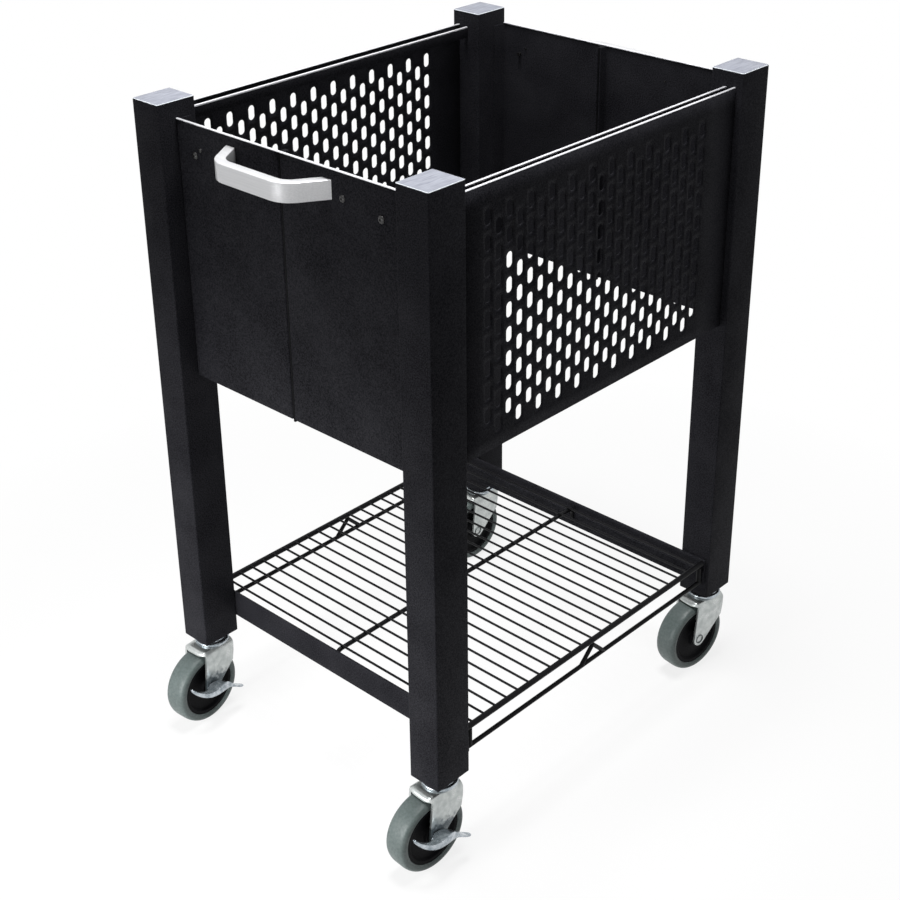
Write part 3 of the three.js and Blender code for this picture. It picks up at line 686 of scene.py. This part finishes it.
OUT_FRONT = Matrix.Rotation(math.pi / 2, 4, "X")
RIVET_RADIUS = {"left": 2.0, "right": 3.2}
RIVET_DROP, RIVET_LEFT_BY, RIVET_RIGHT_BY = 4.5, 34.5, 12
for end in ("front", "back"):
    outward = OUT_FRONT if end == "front" else Matrix.Rotation(math.pi, 4, "Z") @ OUT_FRONT
    face = span(f"{end}_panel_left")[0 if end == "front" else 1].y
    pull_low, pull_high = span(f"{end}_pull")
    rivet_x = {"left": pull_low.x - RIVET_LEFT_BY, "right": pull_high.x + RIVET_RIGHT_BY}
    rivet_z = (pull_low.z + pull_high.z) / 2 - RIVET_DROP
    for side in ("left", "right"):
        node = f"{end}_screw_{side}"
        low, high = span(node)
        place = Matrix.Translation(((low.x + high.x) / 2, face, (low.z + high.z) / 2))
        head = round_head(radius=3.5, height=1.6, shank=1.8, tail=4.2)
        head = moved(head, place @ outward)
        piece(head, f"{end}_screw_head_{side}", "frame", BLACK_SCREW, "black_screw", node)
        place = Matrix.Translation((rivet_x[side], face, rivet_z))
        head = round_head(RIVET_RADIUS[side], height=1.4, shank=1.0, tail=2.0)
        head = moved(head, place @ outward)
        piece(head, f"{end}_rivet_{side}", "frame", BLACK_SCREW, "black_screw")

# %% [markdown]
# ## Perforated sides
# Each side is a flat sheet punched with rows of upright slots with round ends, every other column
# half a step lower. One slot in its small rectangle of sheet is made once: the outline of a slot
# is bridged to the border of a grid. Copies side by side are merged into one sheet, whose
# outer border is pulled out to the panel's edges.

# %% Punch a slot and repeat it
PITCH_Y, PITCH_Z, SLOT_WIDTH, SLOT_LENGTH = 12.7, 21.5, 7.6, 14.0
COLUMNS, ROWS, SHIFT, TOP_MARGIN = 23, 9, -8.0, 19.5


def slot_cell():
    bm = bmesh.new()
    bmesh.ops.create_grid(bm, x_segments=4, y_segments=4, size=0.5)
    bmesh.ops.delete(bm, geom=[v for v in bm.verts if not v.is_boundary], context="VERTS")
    bmesh.ops.scale(bm, vec=(PITCH_Y, PITCH_Z, 1), verts=bm.verts)
    radius = SLOT_WIDTH / 2 / math.cos(math.pi / 16)
    hole = bmesh.ops.create_circle(bm, cap_ends=False, radius=radius, segments=16)["verts"]
    bmesh.ops.rotate(bm, cent=(0, 0, 0), matrix=Matrix.Rotation(math.pi / 16, 3, "Z"), verts=hole)
    for way in (1, -1):
        end = [v for v in hole if v.co.y * way > 0]
        bmesh.ops.translate(bm, vec=(0, way * (SLOT_LENGTH / 2 - radius), 0), verts=end)
    bmesh.ops.bridge_loops(bm, edges=bm.edges[:])
    return bm


def plain_cell():
    bm = bmesh.new()
    bmesh.ops.create_grid(bm, x_segments=4, y_segments=2, size=0.5)
    bmesh.ops.scale(bm, vec=(PITCH_Y, PITCH_Z / 2, 1), verts=bm.verts)
    return bm


def punched_sheet(node):
    low, high = span(node)
    cells = []
    top = high.z - TOP_MARGIN + (PITCH_Z - SLOT_LENGTH) / 2
    for column in range(COLUMNS):
        y = MIDDLE.y + SHIFT + (column - (COLUMNS - 1) / 2) * PITCH_Y
        drop = PITCH_Z / 2 if column % 2 else 0
        for row in range(ROWS):
            z = top - drop - (row + 0.5) * PITCH_Z
            cells.append(moved(slot_cell(), Matrix.Translation((y, z, 0))))
        blank = top - PITCH_Z / 4 if drop else top - (ROWS + 0.25) * PITCH_Z
        cells.append(moved(plain_cell(), Matrix.Translation((y, blank, 0))))
    bm = gather(*cells)
    bmesh.ops.remove_doubles(bm, verts=bm.verts, dist=0.01)
    for axis, sign, edge in ((0, -1, low.y), (0, 1, high.y), (1, -1, low.z), (1, 1, high.z)):
        reach = max(v.co[axis] * sign for v in bm.verts)
        border = [e for e in bm.edges if all(v.co[axis] * sign > reach - 0.05 for v in e.verts)]
        made = bmesh.ops.extrude_edge_only(bm, edges=border)["geom"]
        shift = Vector((0, 0, 0))
        shift[axis] = edge - reach * sign
        bmesh.ops.translate(bm, vec=shift, verts=verts_of(made))
    return bm


for side, way in (("left", -1), ("right", 1)):
    node = f"side_panel_{side}"
    low, high = span(node)
    outer = high.x if way > 0 else low.x
    upright = Matrix(((0, 0, 1, outer), (1, 0, 0, 0), (0, 1, 0, 0), (0, 0, 0, 1)))
    bm = facing(moved(punched_sheet(node), upright), (way, 0, 0))
    sheet = piece(bm, f"punched_side_{side}", "frame", BLACK_COAT, "black_coat", node)
    thicken(sheet, SHEET, edge=0)

# %% Fit the folder rails and the bright side strips
RAIL_EDGE = 1.6
for side in ("left", "right"):
    low, high = span(f"file_rail_{side}")
    edge = Vector((low.x, low.y, high.z - RAIL_EDGE))
    bar = block(low, Vector((high.x, high.y, edge.z)), rounding=0.3, steps=2)
    piece(bar, f"folder_rail_{side}", "frame", BLACK_COAT, "black_coat", f"file_rail_{side}")
    bright = block(edge, high, rounding=0.4)
    piece(bright, f"folder_rail_edge_{side}", "frame", RAIL_STEEL, "bright_steel")
    strip = block(*span(f"side_trim_{side}"), rounding=0.45)
    piece(strip, f"side_top_strip_{side}", "frame", RAIL_STEEL, "bright_steel", f"side_trim_{side}")

# %% [markdown]
# ## Wire shelf
# Two bars between the posts carry a grid of welded wires. The bars are a flat strip with a thicker
# lower part that the wires rest on. Wires are round rods, so each is a cone of one radius; a wire
# that bends is a ring of edges swept along its way.

# %% Make the shelf bars
BAR_SHEET, LEDGE_HEIGHT, BAR_ROUNDING = 2.0, 16, 0.5
for end, way in (("front", 1), ("back", -1)):
    node = f"shelf_bar_{end}"
    low, high = span(node)
    face = low.y if end == "front" else high.y
    inner = high.y if end == "front" else low.y
    thin = face + way * BAR_SHEET
    ledge = low.z + LEDGE_HEIGHT
    section = [(face, low.z), (face, high.z), (thin, high.z), (thin, ledge), (inner, ledge),
               (inner, low.z), (face, low.z)]
    bm = swept(polyline([(low.x, y, z) for y, z in section]), (high.x - low.x, 0, 0))
    bmesh.ops.remove_doubles(bm, verts=bm.verts, dist=0.001)
    bmesh.ops.holes_fill(bm, edges=bm.edges, sides=0)
    bmesh.ops.recalc_face_normals(bm, faces=bm.faces)
    bevelled(bm, [e for e in bm.edges if e.calc_face_angle() > SHARP], BAR_ROUNDING, 2)
    piece(bm, f"shelf_{end}_bar", "frame", BLACK_COAT, "black_coat", node)

# %% Make a wire
def wire(radius, start, end, sides=12):
    start, end = Vector(start), Vector(end)
    bm = bmesh.new()
    bmesh.ops.create_cone(bm, cap_ends=True, cap_tris=False, segments=sides,
                          radius1=radius, radius2=radius, depth=(end - start).length)
    turn = (end - start).to_track_quat("Z", "Y").to_matrix().to_4x4()
    return moved(bm, Matrix.Translation((start + end) / 2) @ turn)


def bent_wire(radius, length, bend, drop, middle, sides=12):
    bm = bmesh.new()
    bmesh.ops.create_circle(bm, cap_ends=False, radius=radius, segments=sides)
    bmesh.ops.translate(bm, vec=(0, -length / 2, -bend - drop), verts=bm.verts)
    ring = bm.verts[:] + bm.edges[:]
    runs = (((0, 0, drop), -1), ((0, length - 2 * bend, 0), 1), ((0, 0, -drop), 0))
    for heading, turn_at in runs:
        made = bmesh.ops.extrude_edge_only(bm, edges=edges_of(ring))["geom"]
        ring = [part for part in made if not isinstance(part, bmesh.types.BMFace)]
        bmesh.ops.translate(bm, vec=heading, verts=verts_of(ring))
        if turn_at:
            centre = (0, turn_at * (length / 2 - bend), -bend)
            ring = bmesh.ops.spin(bm, geom=ring, cent=centre, axis=(-1, 0, 0), dvec=(0, 0, 0),
                                  angle=math.pi / 2, steps=6)["geom_last"]
    bmesh.ops.holes_fill(bm, edges=bm.edges, sides=0)
    bmesh.ops.recalc_face_normals(bm, faces=bm.faces)
    return moved(bm, Matrix.Translation(middle))


print("wires: straight and bent")

# %% Weld the shelf grid
low, high = span("shelf_grid")
SIDE_WIRE, CROSS_WIRE, MIDDLE_WIRE = 2.8, 1.15, 2.3
CROSS_SINK, WELD_DEPTH = 0.1, 0.3
wire_z = high.z - SIDE_WIRE
cross_z = wire_z + SIDE_WIRE - CROSS_WIRE - CROSS_SINK
left_x, right_x = low.x + SIDE_WIRE, high.x - SIDE_WIRE
wires = [wire(SIDE_WIRE, (x, low.y, wire_z), (x, high.y, wire_z)) for x in (left_x, right_x)]
CROSS_PITCH, CROSS_COUNT = 15.25, 23
for number in range(CROSS_COUNT):
    y = MIDDLE.y + (number - (CROSS_COUNT - 1) / 2) * CROSS_PITCH
    wires.append(wire(CROSS_WIRE, (left_x, y, cross_z), (right_x, y, cross_z), 8))
middle_z = cross_z - CROSS_WIRE - MIDDLE_WIRE + WELD_DEPTH
MIDDLE_BEND, MIDDLE_DROP, MIDDLE_SHORTER = 7, 9, 5.4
wires.append(bent_wire(MIDDLE_WIRE, high.y - low.y - MIDDLE_SHORTER, MIDDLE_BEND, MIDDLE_DROP,
                       (MIDDLE.x, MIDDLE.y, middle_z)))
piece(gather(*wires), "welded_shelf_wires", "frame", BLACK_WIRE, "black_wire", "shelf_grid")

# %% Brace the side wires
LOWER_WIRE, BRACE_WIRE, END_WIRE = 2.2, 2.1, 2.4
BRACE_HALF, END_INSET = 17, 3.4
for side in ("left", "right"):
    node = f"shelf_truss_{side}"
    low, high = span(node)
    x, low_z = (low.x + high.x) / 2, low.z + LOWER_WIRE
    knee_at = (x, MIDDLE.y, wire_z - SIDE_WIRE - BRACE_WIRE)
    parts = [wire(LOWER_WIRE, (x, low.y, low_z), (x, high.y, low_z))]
    for way in (-1, 1):
        parts.append(wire(BRACE_WIRE, (x, MIDDLE.y + way * BRACE_HALF, low_z), knee_at))
    knee = bmesh.new()
    bmesh.ops.create_uvsphere(knee, u_segments=12, v_segments=8, radius=BRACE_WIRE)
    parts.append(moved(knee, Matrix.Translation(knee_at)))
    for y in (low.y + END_INSET, high.y - END_INSET):
        parts.append(wire(END_WIRE, (x, y, low_z), (x, y, high.z)))
    piece(gather(*parts), f"shelf_brace_{side}", "frame", BLACK_WIRE, "black_wire", node)

# %% [markdown]
# ## Casters
# Every caster is the same: a turned race and stem, a pressed fork, an axle with rolled ends, a
# black hub and a grey tyre. It is made in its own frame with the axle along X and the wheel
# trailing to -Y, and then put under its post with the turn that the frame gives. The front two
# have a brake.

# %% Place a caster
LEG_OUT, FORK_SHEET, SEAT_GAP, BRAKE_ROOM = 15.6, 2.4, 0.1, 2.4
swivel_at = Vector(joints["swivel_front_left"]["pos_m"]) * 1000
axle_at = Vector(joints["roll_front_left"]["pos_m"]) * 1000
AXLE_Z, TRAIL = axle_at.z, (axle_at - swivel_at).to_2d().length
CROWN_Z = span("caster_fork_front_left")[1].z - FORK_SHEET


def caster_place(place):
    stem = Vector(joints[f"swivel_{place}"]["pos_m"]) * 1000
    axis = joints[f"roll_{place}"]["axis"]
    turn = Matrix.Rotation(math.atan2(axis[1], axis[0]), 4, "Z")
    return Matrix.Translation((stem.x, stem.y, 0)) @ turn


def axle_place(place):
    to_axle = Matrix.Translation((0, -TRAIL, AXLE_Z))
    return caster_place(place) @ to_axle @ Matrix.Rotation(math.pi / 2, 4, "Y")


print(f"axle at {AXLE_Z:.3f}, crown at {CROWN_Z:.3f}, trail {TRAIL:.3f}")
print("turns:", [round(math.degrees(caster_place(p).to_euler().z), 1) for p in PLACES])

# %% Turn the race, stem and axle
def stem_shape():
    bottom = CROWN_Z + FORK_SHEET + SEAT_GAP
    rise = [(0, 0), (16.4, 0), (17.2, 1.4), (16.4, 3.0), (13.6, 3.6), (13.2, 4.4), (12.4, 6.2),
            (10.5, 7.2), (10.5, 8.2), (5.5, 8.2), (5.5, 37), (4.4, 38.2), (0, 38.2)]
    rounding = ((2, 0.9), (3, 0.8), (4, 0.4), (6, 0.6))
    return turned([(r, bottom + z) for r, z in rise], rounding, steps=48)


def axle_shape(braked):
    head = LEG_OUT + SEAT_GAP + (BRAKE_ROOM if braked else 0)
    nut = -LEG_OUT - SEAT_GAP
    half = [(0, -0.2), (1.9, -0.1), (2.6, -1.2), (3.7, -1.1), (3.9, 0.5), (4.9, 0.6), (5.1, 0),
            (4, 0)]
    outline = [(r, nut - x) for r, x in half] + [(r, head + x) for r, x in reversed(half)]
    return turned(outline, ((4, 0.2), (5, 0.3), (10, 0.3), (11, 0.2)), steps=28)


for place in PLACES:
    body = f"caster_{place}"
    stem = moved(stem_shape(), caster_place(place))
    piece(stem, f"race_and_stem_{place}", body, BRIGHT_ZINC, "zinc", f"caster_stem_{place}")
    pin = moved(axle_shape(place.startswith("front")), axle_place(place))
    piece(pin, f"axle_pin_{place}", body, AXLE_STEEL, "zinc", f"caster_axle_{place}")

# %% [markdown]
# ## Pressed forks
# A fork is one steel strip: a flat crown over the wheel and two legs that narrow to a round eye at
# the axle. The strip is bent first, as an arch with rounded shoulders, and then trimmed by straight
# cuts. Many small cuts around the axle leave a round eye. The crown's rear edge is turned down.

# %% Press the forks
EYE_RADIUS, FORK_FRONT, FORK_SHOULDER, LEG_LOW = 7.5, 13.5, 6, 25
FRONT_CUTS = (((0, 13.1, 67), 358.0), ((0, 11.6, 58.6), 350.0))
EYE_CUTS = (174.1, *range(185, 306, 10), 314.2)
LIP_STEPS = ((0, -1.6, -0.4), (0, -1.4, -1.1), (0, -0.9, -1.5), (0, -0.3, -1.6))


def tilt(degrees):
    return Vector((0, math.cos(math.radians(degrees)), math.sin(math.radians(degrees))))


def border(bm, above, behind):
    edges = [e for e in bm.edges if e.is_boundary]
    return [e for e in edges if all(v.co.z > above and v.co.y < behind for v in e.verts)]


def fork_shape():
    top, rear_y = CROWN_Z + FORK_SHEET, -TRAIL - EYE_RADIUS
    arch = [(-LEG_OUT, rear_y, LEG_LOW), (-LEG_OUT, rear_y, top), (LEG_OUT, rear_y, top),
            (LEG_OUT, rear_y, LEG_LOW)]
    shoulders = ((1, FORK_SHOULDER), (2, FORK_SHOULDER))
    bm = swept(polyline(arch, shoulders, steps=6), (0, FORK_FRONT - rear_y, 0))
    for point, degrees in FRONT_CUTS:
        cut_off(bm, point, tilt(degrees))
    for degrees in EYE_CUTS:
        cut_off(bm, Vector((0, -TRAIL, AXLE_Z)) + tilt(degrees) * EYE_RADIUS, tilt(degrees))
    bmesh.ops.subdivide_edges(bm, edges=border(bm, above=top - 0.01, behind=0), cuts=7)
    lip = border(bm, above=top - 4, behind=-15)
    for step in LIP_STEPS:
        made = bmesh.ops.extrude_edge_only(bm, edges=lip)["geom"]
        lip = edges_of(made)
        for vert in verts_of(made):
            share = 1 - (vert.co.x / LEG_OUT) ** 4
            bmesh.ops.translate(bm, vec=Vector(step) * share, verts=[vert])
    bmesh.ops.recalc_face_normals(bm, faces=bm.faces)
    crown = max(bm.faces, key=lambda f: f.calc_center_median().z)
    if crown.normal.z < 0:
        bmesh.ops.reverse_faces(bm, faces=bm.faces)
    return bm


for place in PLACES:
    bm = moved(fork_shape(), caster_place(place))
    # Front forks take the zinc with the pedal's painted shade low down; the rear forks stay plain.
    finish = ZINC_WITH_PEDAL_SHADE if place.startswith("front") else ZINC
    fork = piece(bm, f"pressed_fork_{place}", f"caster_{place}", finish, "zinc",
                 f"caster_fork_{place}", crease=50)
    thicken(fork, FORK_SHEET, edge=0.5)

# %% Turn the hubs and mould the tyres
TREAD_LIFT = 0.02


def both_halves(half):
    near = [(r, -x) for r, x in half]
    return near + [(r, x) for r, x in reversed(half)] + near[:1]


def hub_shape():
    half = [(4.3, 12), (9, 12), (9.8, 9), (14, 7.6), (24.5, 7.6), (26.4, 10.4), (29.6, 10.4)]
    rounding = ((1, 0.8), (2, 0.8), (4, 0.8), (5, 0.7), (8, 0.7), (9, 0.8), (11, 0.8), (12, 0.8))
    return turned(both_halves(half), rounding, steps=48)


def tyre_shape():
    half = [(29.8, 10.8), (32.5, 12), (36.2, 11.2), (AXLE_Z - TREAD_LIFT, 7.2)]
    rounding = ((1, 1.0), (2, 1.8), (3, 2.2), (4, 2.2), (5, 1.8), (6, 1.0))
    return turned(both_halves(half), rounding, steps=72)


for place in PLACES:
    body = f"wheel_{place}"
    hub, tyre = (moved(shape, axle_place(place)) for shape in (hub_shape(), tyre_shape()))
    piece(hub, f"hub_disc_{place}", body, BLACK_PLASTIC, "black_plastic", f"wheel_hub_{place}")
    piece(tyre, f"tyre_band_{place}", body, TYRE_GREY, "grey_tyre", f"wheel_tyre_{place}")

# %% [markdown]
# ## Brake pedals
# A front caster has a pressed pedal beside the fork: a raised wing at the rear, a waist over the
# axle and a narrow tongue that dips at the front. A flat grid is shaped row by row to that outline,
# its outer edge is lifted over the waist, its border is turned down as a rim that is deepest there,
# and a ring holds it on the axle.

# %% List the pedal's rows
# Each row: place along the wheel, height over the axle, inner and outer end, lift, rim depth
PEDAL_ROWS = [
    (-28.5, 16.2, 0, 3.4, 0, 3.4), (-26, 14.2, 1.6, 7, 0, 4.4), (-22, 11.6, 5, 10.5, 0, 5.0),
    (-15, 9.0, 8, 13.6, 0, 5.4), (-9, 8.3, 6, 14.6, 0.4, 5.8), (-4, 7.9, 0, 14.8, 1.6, 7.0),
    (4, 7.4, 0, 14.4, 4.4, 9.6), (10, 5.0, 0, 12.8, 5.2, 9.2), (15, 1.4, 1.8, 11.6, 3.4, 6.0),
    (20, -2.8, 3.3, 11.2, 0.8, 2.4), (26, -7, 3.6, 11, 0, 1.6), (31, -9.8, 4.4, 10.4, 0, 1.4),
    (33.5, -10.9, 6.2, 8.8, 0, 1.2)]
PEDAL_GAP, PEDAL_SHEET, INNER_RIM, RIM_SHARES = 0.3, 1.4, 2.0, (0.25, 0.75)
PEDAL_IN = LEG_OUT + PEDAL_GAP
print("rows of a pedal:", len(PEDAL_ROWS))

# %% Press the brake pedals
def rim_depth(spot):
    _, _, start, end, _, depth = min(PEDAL_ROWS, key=lambda row: abs(row[0] - spot.y))
    on_inner_half = spot.x < PEDAL_IN + (start + end) / 2
    return min(depth, INNER_RIM) if on_inner_half else depth


def pedal_shape():
    bm = bmesh.new()
    bmesh.ops.create_grid(bm, x_segments=5, y_segments=len(PEDAL_ROWS) - 1, size=0.5)
    levels = sorted({round(v.co.y, 4) for v in bm.verts})
    rows = [[v for v in bm.verts if abs(v.co.y - level) < 1e-3] for level in levels]
    for row, level, (along, rise, start, end, lift, _) in zip(rows, levels, PEDAL_ROWS):
        for vert in row:
            bmesh.ops.translate(bm, vec=(0, 0, lift * (vert.co.x + 0.5) ** 2), verts=[vert])
        bmesh.ops.scale(bm, vec=(end - start, 1, 1), verts=row)
        middle = PEDAL_IN + (start + end) / 2
        bmesh.ops.translate(bm, vec=(middle, along - level, rise), verts=row)
    rim = [e for e in bm.edges if e.is_boundary and any(v.co.x >= PEDAL_IN + 0.01 for v in e.verts)]
    for share in RIM_SHARES:
        made = bmesh.ops.extrude_edge_only(bm, edges=rim)["geom"]
        rim = edges_of(made)
        for vert in verts_of(made):
            bmesh.ops.translate(bm, vec=(0, 0, -share * rim_depth(vert.co)), verts=[vert])
    bmesh.ops.recalc_face_normals(bm, faces=bm.faces)
    top = max(bm.faces, key=lambda f: f.calc_area() * abs(f.normal.z))
    if top.normal.z < 0:
        bmesh.ops.reverse_faces(bm, faces=bm.faces)
    return bm


def eye_shape(bore=4.3, outer=7.4, width=2):
    near, far = PEDAL_IN, PEDAL_IN + width
    outline = [(bore, near), (outer, near), (outer, far), (bore, far), (bore, near)]
    return turned(outline, ((1, 0.3), (2, 0.4)), steps=32)


for place in ("front_left", "front_right"):
    body = f"brake_{place}"
    bm = moved(pedal_shape(), caster_place(place) @ Matrix.Translation((0, -TRAIL, AXLE_Z)))
    pedal = piece(bm, f"brake_lever_{place}", body, BRIGHT_ZINC, "zinc",
                  f"brake_pedal_{place}", crease=60)
    soft = pedal.modifiers.new("soft_press", "SUBSURF")
    soft.levels = soft.render_levels = 2
    thicken(pedal, PEDAL_SHEET, edge=0)
    eye = moved(eye_shape(), axle_place(place))
    piece(eye, f"brake_eye_{place}", body, BRIGHT_ZINC, "zinc")
